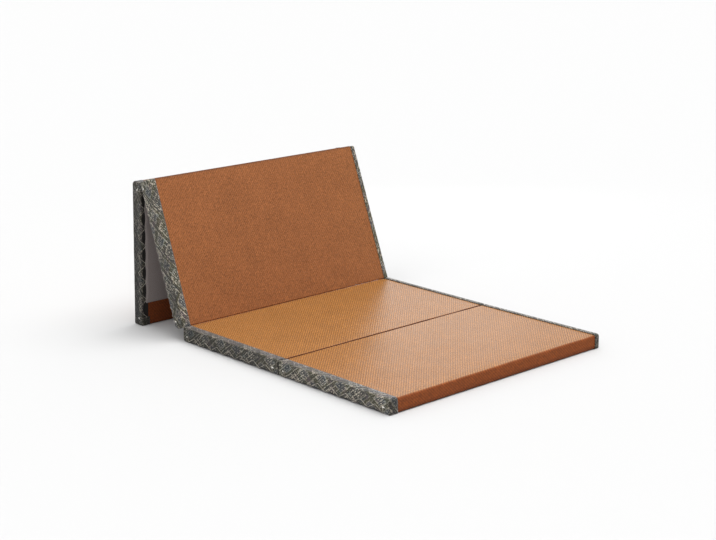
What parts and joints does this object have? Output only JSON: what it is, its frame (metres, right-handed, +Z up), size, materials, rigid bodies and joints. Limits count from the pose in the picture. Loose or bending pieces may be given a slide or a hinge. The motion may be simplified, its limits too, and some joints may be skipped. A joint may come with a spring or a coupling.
{
  "type": "folding tatami mat",
  "caption": "Folding floor mat of padded woven-reed panels with laced brocade borders, set up flat with a leaning back and a rear prop.",
  "frame": {"origin": "on the floor, under the middle of the footprint", "axes": "+X to the right across the panels, +Y from the front edge to the prop behind the back, +Z up"},
  "size_m": [0.9088, 1.2896, 0.5155],
  "materials": {
    "mat_cloth": "orange-brown glossy reed weave",
    "border_brocade": "grey-green brocade with a small silver diamond pattern",
    "lining_cloth": "matt grey-mauve plain weave",
    "hinge_cloth": "matt grey-brown tape",
    "lacing_thread": "pale waxed thread"
  },
  "bodies": {
    "root": {"panel_front": "mat_cloth", "lining_front": "lining_cloth", "border_front_left": "border_brocade", "lacing_front_left": "lacing_thread", "border_front_right": "border_brocade", "lacing_front_right": "lacing_thread", "panel_seat": "mat_cloth", "lining_seat": "lining_cloth", "border_seat_left": "border_brocade", "lacing_seat_left": "lacing_thread", "border_seat_right": "border_brocade", "lacing_seat_right": "lacing_thread", "panel_back": "mat_cloth", "lining_back": "lining_cloth", "border_back_left": "border_brocade", "lacing_back_left": "lacing_thread", "border_back_right": "border_brocade", "lacing_back_right": "lacing_thread", "panel_prop": "mat_cloth", "lining_prop": "lining_cloth", "border_prop_left": "border_brocade", "lacing_prop_left": "lacing_thread", "border_prop_right": "border_brocade", "lacing_prop_right": "lacing_thread", "hinge_front_seat": "hinge_cloth", "hinge_seat_back": "hinge_cloth", "hinge_back_prop": "hinge_cloth"}
  },
  "joints": []
}
